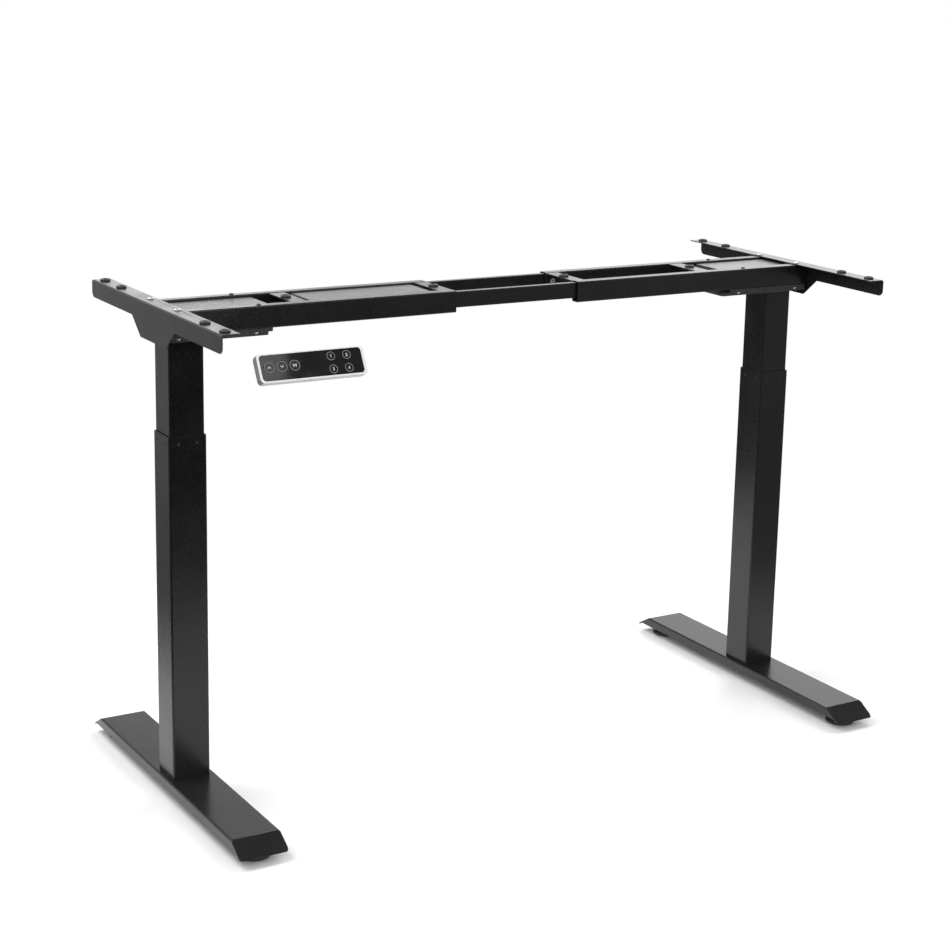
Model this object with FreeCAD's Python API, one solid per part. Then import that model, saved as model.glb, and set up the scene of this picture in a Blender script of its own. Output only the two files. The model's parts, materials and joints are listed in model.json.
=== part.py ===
import FreeCAD, Part
import math
import os

V = FreeCAD.Vector

# Two-column electric height adjustable desk frame, shown without a table top.
# Frame: origin on the floor under the middle of the frame, +X to the right
# along the width, +Y to the back, +Z up. All sizes in millimetres.

# ---- feet -------------------------------------------------------------
COL_X = 643.0          # column centre line from the middle
FOOT_W = 90.0          # foot width
FOOT_FLAT = 617.0      # length of the flat top plate of a foot
FOOT_LEN = 700.0       # overall length with the sloping end flaps
FOOT_TOP = 39.0        # top of the foot above the floor
FLAP_BOTTOM = 15.0     # lower edge of an end flap
FLANGE_BOTTOM = 21.0   # lower edge of the side flanges
FOOT_T = 3.0           # foot sheet thickness
GLIDE_Y = 302.0        # glide centre from the middle of the foot
GLIDE_D = 58.0         # glide pad diameter
GLIDE_H = 10.0         # glide pad height
GLIDE_PLATE_Z = 22.0   # underside of the welded nut plate
GLIDE_PLATE_T = 6.0

# ---- columns ----------------------------------------------------------
OUT_A = 70.0           # outer column, square
OUT_T = 1.5
OUT_TOP = 669.5
OUT_R = 3.5
IN_A = 64.5            # inner column, square
IN_T = 1.5
IN_R = 3.0
IN_BOTTOM = 225.0
IN_TOP = 842.5
BASE_PLATE_T = 8.0
BASE_BOLT = 20.0       # bolt half spacing
PAD_T = 0.95
PAD_W = 14.0
PAD_L = 60.0
PAD_OFF = 17.0         # pad and set screw offset from the face centre
PAD_SCREW_Z = OUT_TOP - 13.0

# ---- drive ------------------------------------------------------------
SPINDLE_R = 7.0
SPINDLE_BOTTOM = 225.0
SPINDLE_TOP = 877.0
NUT_BORE_R = 7.06
DRIVE_TUBE_OD = 30.0
DRIVE_TUBE_ID = 26.0
DRIVE_TUBE_TOP = 560.0
NUT_TOP = 596.0

# ---- top frame --------------------------------------------------------
RAIL_TOP = 894.5
RAIL_H = 40.0
RAIL_W = 20.0
RAIL_T = 2.0
RAIL_YO = 68.0         # outer face of the outer rails
RAIL_IN = 132.0        # inner end of the outer rails
RAIL_OUT = 688.0       # outer end of the outer rails
CRAIL_YI = 51.0        # centre rail inner and outer faces
CRAIL_YO = 62.5
CRAIL_TOP = 892.2
CRAIL_H = 30.0
CRAIL_HALF = 330.0
CRAIL_T = 2.0
BR_X = 690.5           # outer face of a side bracket web
BR_T = 2.0
BR_TOP = 896.5
BR_HALF = 295.0        # half length of a side bracket
BR_FLANGE = 33.5
BR_ARM_BOTTOM = 864.5
BR_TAB_BOTTOM = 831.5
BR_TAB_HALF = 57.5
BR_SLOPE_END = 97.0
BR_END_R = 5.0         # rounded top corners at a bracket's ends
SCREW_X = {-1: 669.5, 1: 664.0}
SCREW_Y = 60.0
BUMPER_X = 674.0
BUMPER_YS = (-270.0, -189.0, 189.0, 270.0)
BUMPER_D = 18.6
BUMPER_H = 3.8
BUMPER_HOLE_R = 2.6
CROSS_IN = (131.0, 158.0)
CROSS_OUT = (423.0, 453.0)
CROSS_TOP = 893.8
CROSS_T = 3.0
CROSS_BUMPER_X = (143.0, 441.0)
MP_T = 6.0             # rail plate and column plate thickness
MP_INNER = 495.3       # inner end of the rail plate
CP_INNER = {-1: 503.5, 1: 474.0}   # inner end of each column plate
NUT_XS = {-1: (527.0, 669.5), 1: (516.5, 659.5)}
NUT_Y = 62.5
COVER_TOP = 890.5
RAIL_SCREW_X = {-1: 519.5, 1: 530.5}
COVER_INNER = 490.0
COVER_T = 1.5
COVER_HALF = 45.5

# ---- control box ------------------------------------------------------
BOX_X0, BOX_X1 = -410.0, -168.0
BOX_HALF = 46.0
BOX_BOTTOM = 857.0
BOX_TOP = 891.5
BOX_T = 1.5

# ---- handset ----------------------------------------------------------
HS_X0, HS_Y0, HS_Z0 = -647.0, -324.7, 867.9   # top left corner of the face
HS_W, HS_H, HS_D = 190.0, 50.0, 19.0
HS_TILT = 29.0
HS_R = 8.0
PANEL_W, PANEL_H, PANEL_R = 180.0, 43.0, 6.0
PANEL_T = 1.2
KEY_D_BIG, KEY_D_SMALL = 19.0, 15.6
KEY_TRAVEL = 0.5
# key centres: distance along the face from its left edge, and down from its top
KEYS = {
    "key_up": (19.4, 24.3, KEY_D_BIG),
    "key_down": (41.8, 24.3, KEY_D_BIG),
    "key_memory": (64.2, 24.3, KEY_D_BIG),
    "key_one": (130.3, 14.2, KEY_D_SMALL),
    "key_two": (158.5, 14.2, KEY_D_SMALL),
    "key_three": (130.3, 36.4, KEY_D_SMALL),
    "key_four": (158.5, 36.4, KEY_D_SMALL),
}

os.makedirs("parts", exist_ok=True)
NODES = {}


def box(x0, x1, y0, y1, z0, z1):
    x0, x1 = min(x0, x1), max(x0, x1)
    y0, y1 = min(y0, y1), max(y0, y1)
    z0, z1 = min(z0, z1), max(z0, z1)
    return Part.makeBox(x1 - x0, y1 - y0, z1 - z0, V(x0, y0, z0))


def cyl(r, x, y, z0, z1):
    return Part.makeCylinder(r, z1 - z0, V(x, y, z0))


def cyl_dir(r, p, d, length):
    return Part.makeCylinder(r, length, p, d)


def tube(r1, r0, x, y, z0, z1):
    return cyl(r1, x, y, z0, z1).cut(cyl(r0, x, y, z0 - 1, z1 + 1))


def wire_of(points):
    pts = [V(*p) for p in points]
    return Part.makePolygon(pts + [pts[0]])


def rounded_poly(points, radii, plane):
    """Closed wire of straight edges joined by tangent arcs. points are 2-D, plane maps (a, b) to a 3-D point."""
    n = len(points)
    cuts = []
    for i in range(n):
        p0, p, p1 = points[i - 1], points[i], points[(i + 1) % n]
        r = radii[i]
        a = (p0[0] - p[0], p0[1] - p[1])
        b = (p1[0] - p[0], p1[1] - p[1])
        la, lb = math.hypot(*a), math.hypot(*b)
        a = (a[0] / la, a[1] / la)
        b = (b[0] / lb, b[1] / lb)
        if r <= 0:
            cuts.append((p, None, p))
            continue
        cosang = max(-1.0, min(1.0, a[0] * b[0] + a[1] * b[1]))
        half = math.acos(cosang) / 2.0
        t = r / math.tan(half)
        s = (p[0] + a[0] * t, p[1] + a[1] * t)
        e = (p[0] + b[0] * t, p[1] + b[1] * t)
        bis = (a[0] + b[0], a[1] + b[1])
        lbis = math.hypot(*bis)
        dist = r / math.sin(half)
        c = (p[0] + bis[0] / lbis * dist, p[1] + bis[1] / lbis * dist)
        m = (c[0] - bis[0] / lbis * r, c[1] - bis[1] / lbis * r)
        cuts.append((s, m, e))
    edges = []
    for i in range(n):
        s, m, e = cuts[i]
        if m is not None:
            edges.append(Part.Arc(V(*plane(*s)), V(*plane(*m)), V(*plane(*e))).toShape())
        nxt = cuts[(i + 1) % n][0]
        if math.hypot(nxt[0] - e[0], nxt[1] - e[1]) > 1e-7:
            edges.append(Part.makeLine(V(*plane(*e)), V(*plane(*nxt))))
    return Part.Wire(edges)


def extrude(points, radii, plane, vec):
    return Part.Face(rounded_poly(points, radii, plane)).extrude(V(*vec))


def rrect(a0, a1, b0, b1):
    return [(a0, b0), (a1, b0), (a1, b1), (a0, b1)]


def xprism(points, radii, x0, x1):
    """points are (y, z), extruded along X."""
    x0, x1 = min(x0, x1), max(x0, x1)
    return extrude(points, radii, lambda a, b: (x0, a, b), (x1 - x0, 0, 0))


def yprism(points, radii, y0, y1):
    """points are (x, z), extruded along Y."""
    return extrude(points, radii, lambda a, b: (a, y0, b), (0, y1 - y0, 0))


def zprism(points, radii, z0, z1):
    """points are (x, y), extruded along Z."""
    return extrude(points, radii, lambda a, b: (a, b, z0), (0, 0, z1 - z0))


def hexagon(x, y, af, z0, z1):
    r = af / 2.0 / math.cos(math.pi / 6)
    pts = [(x + r * math.cos(math.pi / 3 * k), y + r * math.sin(math.pi / 3 * k)) for k in range(6)]
    return zprism(pts, [0] * 6, z0, z1)


def save(name, *shapes):
    solids = []
    for s in shapes:
        for so in s.Solids:
            solids.append(so)
    assert solids, name
    shape = solids[0] if len(solids) == 1 else Part.makeCompound(solids)
    for so in solids:
        assert so.isValid(), name
    NODES[name] = shape
    shape.exportStep("parts/%s.step" % name)


# ---- parts that are mirrored: s = -1 left, +1 right ----------------------

def make_foot(s):
    xc = s * COL_X
    h = FOOT_W / 2.0
    flat, end = FOOT_FLAT / 2.0, FOOT_LEN / 2.0
    # outer hull: side profile by cross section by rounded plan
    side = [(-end, FLAP_BOTTOM), (end, FLAP_BOTTOM), (flat, FOOT_TOP), (-flat, FOOT_TOP)]
    a = xprism(side, [0, 0, 5.0, 5.0], xc - h, xc + h)
    b = yprism([(xc - h, 0), (xc + h, 0), (xc + h, FOOT_TOP), (xc - h, FOOT_TOP)], [0, 0, 3.5, 3.5], -end - 1, end + 1)
    c = zprism(rrect(xc - h, xc + h, -end, end), [10.0] * 4, 0, FOOT_TOP + 1)
    hull = a.common(b).common(c)
    ang = math.atan2(FOOT_TOP - FLAP_BOTTOM, end - flat)
    # inner profile: the same lines moved in by the sheet thickness
    zi = FOOT_TOP - FOOT_T
    k = (end - flat) / (FOOT_TOP - FLAP_BOTTOM)
    off = FOOT_T / math.sin(ang)
    yi_top = flat - off + k * FOOT_T
    zlow = -5.0
    yi_low = yi_top + k * (zi - zlow)
    inner = [(-yi_low, zlow), (yi_low, zlow), (yi_top, zi), (-yi_top, zi)]
    inn = xprism(inner, [0, 0, 2.0, 2.0], xc - h + FOOT_T, xc + h - FOOT_T)
    foot = hull.cut(inn)
    # side flanges are shallower than the flaps
    zf = FLANGE_BOTTOM
    yi_f = yi_top + k * (zi - zf)
    low = [(-yi_low, zlow), (yi_low, zlow), (yi_f, zf), (-yi_f, zf)]
    foot = foot.cut(xprism(low, [0, 0, 0, 0], xc - h - 2, xc + h + 2))
    for sx in (-1, 1):
        for sy in (-1, 1):
            foot = foot.cut(cyl(4.5, xc + sx * BASE_BOLT, sy * BASE_BOLT, 30, 45))
    return foot


def make_glide_nuts(s):
    xc = s * COL_X
    out = []
    for sy in (-1, 1):
        y = sy * GLIDE_Y
        p = box(xc - FOOT_W / 2 + FOOT_T, xc + FOOT_W / 2 - FOOT_T, y - 14, y + 14, GLIDE_PLATE_Z, GLIDE_PLATE_Z + GLIDE_PLATE_T)
        # corners that would run into the sloping flap are relieved
        k = (FOOT_LEN - FOOT_FLAT) / 2.0 / (FOOT_TOP - FLAP_BOTTOM)
        p = p.cut(cyl(4.05, xc, y, 20, 30))
        out.append(p)
    return out


def make_glide(s, sy):
    xc = s * COL_X
    y = sy * GLIDE_Y
    r = GLIDE_D / 2.0
    # turned profile of the pad, revolved about its own axis
    prof = [(0, 0), (r - 1.5, 0), (r, 1.5), (r, 4.5), (r - 2.0, 6.5), (14, GLIDE_H - 1.5), (12, GLIDE_H), (4.0, GLIDE_H), (4.0, 27.6), (0, 27.6)]
    w = wire_of([(xc + a, y, b) for a, b in prof])
    return Part.Face(w).revolve(V(xc, y, 0), V(0, 0, 1), 360)


def make_outer_column(s):
    xc = s * COL_X
    h = OUT_A / 2.0
    hi = h - OUT_T
    o = zprism(rrect(xc - h, xc + h, -h, h), [OUT_R] * 4, FOOT_TOP, OUT_TOP)
    i = zprism(rrect(xc - hi, xc + hi, -hi, hi), [OUT_R - OUT_T] * 4, FOOT_TOP + BASE_PLATE_T, OUT_TOP + 1)
    col = o.cut(i)
    for sx in (-1, 1):
        for sy in (-1, 1):
            col = col.cut(cyl(4.06, xc + sx * BASE_BOLT, sy * BASE_BOLT, FOOT_TOP - 1, FOOT_TOP + BASE_PLATE_T + 1))
    for p, d in screw_points(s):
        col = col.cut(cyl_dir(2.6, p - d * 2.0, d, 4.0))
    # welded collar that centres the drive tube is part of the bottom plate
    return col


def screw_points(s):
    """Set screws near the column's top: points on the outer faces with outward directions."""
    xc = s * COL_X
    h = OUT_A / 2.0
    pts = []
    for o in (-PAD_OFF, PAD_OFF):
        pts.append((V(xc + h, o, PAD_SCREW_Z), V(1, 0, 0)))
        pts.append((V(xc - h, o, PAD_SCREW_Z), V(-1, 0, 0)))
        pts.append((V(xc + o, h, PAD_SCREW_Z), V(0, 1, 0)))
        pts.append((V(xc + o, -h, PAD_SCREW_Z), V(0, -1, 0)))
    return pts


def make_pad_screws(s):
    out = []
    for p, d in screw_points(s):
        body = cyl_dir(2.55, p - d * (OUT_T - 0.02), d, OUT_T - 0.02)
        # shallow hex socket
        out.append(body.cut(cyl_dir(1.1, p - d * 0.9, d, 2.0)))
    return out


def make_slide_pads(s):
    xc = s * COL_X
    hi = OUT_A / 2.0 - OUT_T
    z1 = OUT_TOP - 3.0
    z0 = z1 - PAD_L
    out = []
    for o in (-PAD_OFF, PAD_OFF):
        a, b = o - PAD_W / 2, o + PAD_W / 2
        out.append(box(xc + hi - PAD_T, xc + hi, a, b, z0, z1))
        out.append(box(xc - hi, xc - hi + PAD_T, a, b, z0, z1))
        out.append(box(xc + a, xc + b, hi - PAD_T, hi, z0, z1))
        out.append(box(xc + a, xc + b, -hi, -hi + PAD_T, z0, z1))
    return out


def make_foot_bolts(s):
    xc = s * COL_X
    out = []
    for sx in (-1, 1):
        for sy in (-1, 1):
            x, y = xc + sx * BASE_BOLT, sy * BASE_BOLT
            zt = FOOT_TOP - FOOT_T
            b = cyl(4.0, x, y, zt - 1, FOOT_TOP + BASE_PLATE_T + 2)
            head = cyl(7.0, x, y, zt - 5.0, zt)
            b = b.fuse(head).cut(hexagon(x, y, 5.0, zt - 6, zt - 2.0)).removeSplitter()
            out.append(b)
    return out


def make_drive_tube(s):
    xc = s * COL_X
    z0 = FOOT_TOP + BASE_PLATE_T
    return tube(DRIVE_TUBE_OD / 2, DRIVE_TUBE_ID / 2, xc, 0, z0, DRIVE_TUBE_TOP)


def make_spindle_nut(s):
    xc = s * COL_X
    a = cyl(DRIVE_TUBE_ID / 2 - 0.05, xc, 0, DRIVE_TUBE_TOP - 18, DRIVE_TUBE_TOP)
    b = cyl(DRIVE_TUBE_OD / 2, xc, 0, DRIVE_TUBE_TOP, NUT_TOP)
    n = a.fuse(b).removeSplitter()
    return n.cut(cyl(NUT_BORE_R, xc, 0, DRIVE_TUBE_TOP - 30, NUT_TOP + 5))


def make_inner_column(s):
    xc = s * COL_X
    h = IN_A / 2.0
    hi = h - IN_T
    o = zprism(rrect(xc - h, xc + h, -h, h), [IN_R] * 4, IN_BOTTOM, IN_TOP)
    i = zprism(rrect(xc - hi, xc + hi, -hi, hi), [IN_R - IN_T] * 4, IN_BOTTOM - 1, IN_TOP + 1)
    return o.cut(i)


def make_column_plate(s):
    """Plate welded on the inner column: it carries the gearbox and is bolted up to the rail plate."""
    z0, z1 = IN_TOP, IN_TOP + MP_T
    x0, x1 = s * CP_INNER[s], s * 687.0
    lo, hi = min(x0, x1), max(x0, x1)
    p = zprism(rrect(lo, hi, -RAIL_YO, RAIL_YO), [6.0] * 4, z0, z1)
    p = p.cut(cyl(16.0, s * COL_X, 0, z0 - 1, z1 + 1))
    for nx in NUT_XS[s]:
        for sy in (-1, 1):
            x, y = s * nx, sy * NUT_Y
            p = p.cut(box(x - 5.3, x + 5.3, y - sy * 5.1, y + sy * 6.5, z0 + 2.4, z1 + 1))
            p = p.cut(cyl(3.1, x, y, z0 - 1, z1 + 1))
    return p


def make_rail_plate(s):
    z0, z1 = IN_TOP + MP_T, IN_TOP + 2 * MP_T
    x0, x1 = s * MP_INNER, s * 687.0
    lo, hi = min(x0, x1), max(x0, x1)
    p = zprism(rrect(lo, hi, -RAIL_YO, RAIL_YO), [5.0] * 4, z0, z1)
    g0, g1 = s * (COL_X - 43.0), s * (COL_X + 39.0)
    p = p.cut(box(g0, g1, -37, 37, z0 - 1, z1 + 1))
    for nx in NUT_XS[s]:
        for sy in (-1, 1):
            p = p.cut(cyl(3.06, s * nx, sy * NUT_Y, z0 - 1, z1 + 1))
    return p


def make_outer_rail(s, sy):
    yo, yi = sy * RAIL_YO, sy * (RAIL_YO - RAIL_W)
    lo, hi = min(yo, yi), max(yo, yi)
    z0 = RAIL_TOP - RAIL_H
    x0, x1 = s * RAIL_IN, s * RAIL_OUT
    o = xprism(rrect(lo, hi, z0, RAIL_TOP), [2.5] * 4, x0, x1)
    i = xprism(rrect(lo + RAIL_T, hi - RAIL_T, z0 + RAIL_T, RAIL_TOP - RAIL_T), [0.8] * 4, x0 - s, x1 + s)
    r = o.cut(i)
    # clearance hole for the bracket screw, lock screw thread on the inner face
    r = r.cut(cyl(3.06, s * SCREW_X[s], sy * SCREW_Y, RAIL_TOP - 4, RAIL_TOP + 2))
    r = r.cut(cyl(1.55, s * RAIL_SCREW_X[s], sy * (RAIL_YO - RAIL_W / 2), RAIL_TOP - 4, RAIL_TOP + 2))
    for nx in NUT_XS[s]:
        r = r.cut(cyl(3.06, s * nx, sy * NUT_Y, z0 - 1, z0 + RAIL_T + 1))
    r = r.cut(cyl_dir(3.06, V(s * 147.0, sy * 46.0, CRAIL_TOP - 14.0), V(0, sy, 0), 5.0))
    return r


def make_center_rails():
    out = []
    for sy in (-1, 1):
        a, b = sy * CRAIL_YI, sy * CRAIL_YO
        lo, hi = min(a, b), max(a, b)
        z0 = CRAIL_TOP - CRAIL_H
        o = xprism(rrect(lo, hi, z0, CRAIL_TOP), [2.0] * 4, -CRAIL_HALF, CRAIL_HALF)
        i = xprism(rrect(lo + CRAIL_T, hi - CRAIL_T, z0 + CRAIL_T, CRAIL_TOP - CRAIL_T), [0.6] * 4, -CRAIL_HALF - 1, CRAIL_HALF + 1)
        out.append(o.cut(i))
    return out


def make_bracket(s):
    xo = s * BR_X
    xi = s * (BR_X - BR_T)
    zt, zb, zz = BR_TOP, BR_ARM_BOTTOM, BR_TAB_BOTTOM
    e, t, m = BR_HALF, BR_TAB_HALF, BR_SLOPE_END
    # web outline, long arms with rounded lower ends and a deep central tab
    pts = [(-e, zt - 1.0), (-e, zb), (-m, zb), (-t, zz), (t, zz), (m, zb), (e, zb), (e, zt - 1.0)]
    rad = [0, 11.0, 7.0, 5.0, 5.0, 7.0, 11.0, 0]
    web = xprism(pts, rad, min(xo, xi), max(xo, xi))
    # flange with bend, as an angle section common with its plan
    x_in = s * (BR_X - BR_FLANGE)
    lo, hi = min(x_in, xo), max(x_in, xo)
    ang_o = yprism([(lo, zt - 12), (hi, zt - 12), (hi, zt), (lo, zt)], [0, 0, 3.0 if s > 0 else 0, 0 if s > 0 else 3.0], -e, e)
    if s > 0:
        cut = yprism([(lo - 1, zt - 13), (hi - BR_T, zt - 13), (hi - BR_T, zt - BR_T), (lo - 1, zt - BR_T)], [0, 0, 1.0, 0], -e - 1, e + 1)
    else:
        cut = yprism([(lo + BR_T, zt - 13), (hi + 1, zt - 13), (hi + 1, zt - BR_T), (lo + BR_T, zt - BR_T)], [0, 0, 0, 1.0], -e - 1, e + 1)
    ang = ang_o.cut(cut)
    plan = zprism(rrect(lo, hi, -e, e), [4.0 if s > 0 else 0, 0 if s > 0 else 4.0, 0 if s > 0 else 4.0, 4.0 if s > 0 else 0], zt - 14, zt + 1)
    ang = ang.common(plan)
    web_low = web.cut(box(lo - 5, hi + 5, -e - 1, e + 1, zt - 11.99, zt + 1))
    br = ang.fuse(web_low.fuse(web.common(box(min(xo, xi), max(xo, xi), -e, e, zt - 12, zt - 8)))).removeSplitter()
    for sy in (-1, 1):
        br = br.cut(cyl(3.2, s * SCREW_X[s], sy * SCREW_Y, zt - 5, zt + 1))
    for y in BUMPER_YS:
        br = br.cut(cyl(4.0, s * BUMPER_X, y, zt - 5, zt + 1))
    return br.common(xprism([(-e, zz - 1), (e, zz - 1), (e, zt), (-e, zt)], [0, 0, BR_END_R, BR_END_R], lo - 1, hi + 1))


def make_bumper(x, y, z):
    """Rubber grommet: a soft washer with a neck through its hole and a screw hole in the middle."""
    r = BUMPER_D / 2.0
    prof = [(BUMPER_HOLE_R, -3.5), (6.0, -3.5), (6.0, -2.02 if z > 895 else -3.02), (3.95, -2.02 if z > 895 else -3.02), (3.95, 0.0), (r, 0.0), (r, BUMPER_H - 1.6), (r - 1.6, BUMPER_H), (5.2, BUMPER_H), (4.6, BUMPER_H - 1.4), (BUMPER_HOLE_R, BUMPER_H - 1.4)]
    if z <= 895:
        prof[0] = (BUMPER_HOLE_R, -4.5)
        prof[1] = (6.0, -4.5)
    w = wire_of([(x + a, y, z + b) for a, b in prof])
    return Part.Face(w).revolve(V(x, y, 0), V(0, 0, 1), 360)


def make_bumpers(s):
    out = [make_bumper(s * BUMPER_X, y, BR_TOP) for y in BUMPER_YS]
    out += [make_bumper(s * x, 0.0, CROSS_TOP) for x in CROSS_BUMPER_X]
    return out


def make_cross_plates(s):
    out = []
    hy = RAIL_YO - RAIL_W
    for (a, b), bx in zip((CROSS_IN, CROSS_OUT), CROSS_BUMPER_X):
        x0, x1 = s * a, s * b
        lo, hi = min(x0, x1), max(x0, x1)
        # inverted channel: flat top, ends turned down against the rails
        o = xprism(rrect(-hy, hy, CROSS_TOP - 16, CROSS_TOP), [0, 0, 2.5, 2.5], lo, hi)
        i = xprism(rrect(-hy + CROSS_T, hy - CROSS_T, CROSS_TOP - 18, CROSS_TOP - CROSS_T), [0, 0, 0.8, 0.8], lo - 1, hi + 1)
        p = o.cut(i)
        p = p.cut(cyl(4.0, s * bx, 0, CROSS_TOP - 6, CROSS_TOP + 1))
        if a == CROSS_IN[0]:
            for sy in (-1, 1):
                p = p.cut(cyl_dir(5.2, V(s * 147.0, sy * 40.0, CRAIL_TOP - 14.0), V(0, sy, 0), 10.0))
        out.append(p)
    return out


def make_frame_screws(s):
    out = []
    # bracket screws: pan heads on the flange, shanks into the rails
    for sy in (-1, 1):
        x, y = s * SCREW_X[s], sy * SCREW_Y
        prof = [(0, -11.0), (3.0, -11.0), (3.0, 0.0), (6.0, 0.0), (6.0, 1.1), (4.9, 2.4), (3.2, 3.0), (0, 3.0)]
        w = wire_of([(x + a, y, BR_TOP + b) for a, b in prof])
        scr = Part.Face(w).revolve(V(x, y, 0), V(0, 0, 1), 360)
        out.append(scr.cut(hexagon(x, y, 4.0, BR_TOP + 1.2, BR_TOP + 4)))
    # plate bolts: flat heads that lie in the rails and can't turn there, and captive nuts in the column plate
    z0 = IN_TOP
    zr = RAIL_TOP - RAIL_H + RAIL_T
    for nx in NUT_XS[s]:
        for sy in (-1, 1):
            x, y = s * nx, sy * NUT_Y
            b = cyl(3.0, x, y, z0 + 2.7, zr + 0.5).fuse(box(x - 5.0, x + 5.0, sy * 56.5, sy * 65.1, zr, zr + 3.0)).removeSplitter()
            out.append(b)
            out.append(box(x - 5.0, x + 5.0, y - 5.0, y + 5.0, z0 + 2.6, z0 + MP_T).cut(cyl(3.02, x, y, z0, z0 + 10)))
    # small black screws in the tops of the rails
    for sy in (-1, 1):
        x, y = s * RAIL_SCREW_X[s], sy * (RAIL_YO - RAIL_W / 2)
        prof = [(0, -5.0), (1.5, -5.0), (1.5, 0.0), (4.0, 0.0), (3.8, 1.2), (2.4, 2.2), (0, 2.2)]
        w = wire_of([(x + a, y, RAIL_TOP + b) for a, b in prof])
        out.append(Part.Face(w).revolve(V(x, y, 0), V(0, 0, 1), 360))
    # lock screws that press on the centre rails, under the inner cross plate
    for sy in (-1, 1):
        p = V(s * 147.0, sy * (CRAIL_YI - 0.15), CRAIL_TOP - 14.0)
        sh = cyl_dir(3.0, p, V(0, -sy, 0), 5.0)
        hd = cyl_dir(5.0, p + V(0, -sy * 2.85, 0), V(0, -sy, 0), 3.6)
        out.append(sh.fuse(hd).removeSplitter())
    return out


def make_cover(s):
    x0, x1 = s * COVER_INNER, s * 686.0
    lo, hi = min(x0, x1), max(x0, x1)
    z0 = RAIL_TOP - RAIL_H
    h = COVER_HALF
    o = xprism(rrect(-h, h, z0, COVER_TOP), [0, 0, 3.0, 3.0], lo, hi)
    t = COVER_T
    ci0, ci1 = (lo + t, hi + 1) if s > 0 else (lo - 1, hi - t)
    i = xprism(rrect(-h + t, h - t, z0 - 1, COVER_TOP - t), [0, 0, 1.5, 1.5], ci0, ci1)
    c = o.cut(i)
    return c


def make_gearbox(s):
    """Die cast box on the column plate. Holds the thrust bearing seat and the worm wheel."""
    xc = s * COL_X
    z0, z1 = IN_TOP + MP_T, 886.0
    x0, x1 = s * (COL_X - 42.0), s * (COL_X + 38.0)
    lo, hi = min(x0, x1), max(x0, x1)
    o = zprism(rrect(lo, hi, -36.0, 36.0), [7.0] * 4, z0, z1)
    g = o.cut(zprism(rrect(lo + 4, hi - 4, -32, 32), [4.0] * 4, z0 + 6.0, z1 - 4.0))
    g = g.cut(cyl(SPINDLE_R + 0.08, xc, 0, z0 - 1, z0 + 7))
    # worm shaft hole in the inner wall, beside the wheel
    g = g.cut(cyl_dir(6.1, V(s * (COL_X - 45.0), 22.2, 869.0), V(s, 0, 0), 10.0))
    return g


def make_motor(s):
    """Motor can with two flats, its end bell and the worm on its shaft."""
    x_in, x_out = s * 500.0, s * (COL_X - 42.6)
    length = abs(x_out - x_in)
    zc, yc = 869.0, 12.0
    can = cyl_dir(20.0, V(x_in, yc, zc), V(s, 0, 0), length)
    can = can.common(box(x_in, x_out, yc - 30, yc + 30, 856.0, 884.5))
    bell = cyl_dir(8.0, V(x_in + -s * 3.0, yc, zc), V(s, 0, 0), 3.5)
    worm = cyl_dir(6.0, V(s * (COL_X - 46.0), 22.2, zc), V(s, 0, 0), 62.0)
    m = can.fuse(bell).fuse(worm).removeSplitter()
    return m


def make_spindle(s):
    xc = s * COL_X
    z0 = IN_TOP + MP_T
    prof = [(0, SPINDLE_BOTTOM), (SPINDLE_R - 1, SPINDLE_BOTTOM), (SPINDLE_R, SPINDLE_BOTTOM + 1), (SPINDLE_R, z0 - 6.5), (13.0, z0 - 6.5), (13.0, z0 - 0.5), (SPINDLE_R, z0 - 0.5), (SPINDLE_R, 862.0), (15.9, 862.0), (15.9, 876.0), (SPINDLE_R - 1, 876.0), (SPINDLE_R - 1, 880.0), (0, 880.0)]
    w = wire_of([(xc + a, 0, b) for a, b in prof])
    return Part.Face(w).revolve(V(xc, 0, 0), V(0, 0, 1), 360)


SIDES = {"left": -1, "right": 1}
for side, s in SIDES.items():
    save(side + "_foot", make_foot(s))
    save(side + "_glide_nut_plates", *make_glide_nuts(s))
    save(side + "_glide_front", make_glide(s, -1))
    save(side + "_glide_rear", make_glide(s, 1))
    save(side + "_foot_bolts", *make_foot_bolts(s))
    save(side + "_outer_column", make_outer_column(s))
    save(side + "_slide_pads", *make_slide_pads(s))
    save(side + "_pad_screws", *make_pad_screws(s))
    save(side + "_drive_tube", make_drive_tube(s))
    save(side + "_spindle_nut", make_spindle_nut(s))
    save(side + "_spindle", make_spindle(s))
    save(side + "_inner_column", make_inner_column(s))
    save(side + "_column_plate", make_column_plate(s))
    save(side + "_rail_plate", make_rail_plate(s))
    save(side + "_gearbox", make_gearbox(s))
    save(side + "_motor", make_motor(s))
    save(side + "_motor_cover", make_cover(s))
    save(side + "_front_rail", make_outer_rail(s, -1))
    save(side + "_rear_rail", make_outer_rail(s, 1))
    save(side + "_cross_plates", *make_cross_plates(s))
    save(side + "_side_bracket", make_bracket(s))
    save(side + "_bumpers", *make_bumpers(s))
    save(side + "_frame_screws", *make_frame_screws(s))

save("center_rails", *make_center_rails())

# ---- control box ------------------------------------------------------
t = BOX_T
base = xprism(rrect(-BOX_HALF, BOX_HALF, BOX_BOTTOM, BOX_TOP - 1.6), [2.0, 2.0, 0, 0], BOX_X0, BOX_X1)
base = base.cut(box(BOX_X0 + t, BOX_X1 - t, -BOX_HALF + t, BOX_HALF - t, BOX_BOTTOM + t, BOX_TOP + 1))
# socket openings in the right end wall
for y in (-30.0, -10.0, 10.0, 30.0):
    base = base.cut(box(BOX_X1 - 3, BOX_X1 + 3, y - 7.0, y + 7.0, BOX_BOTTOM + 9, BOX_BOTTOM + 20))
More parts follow.
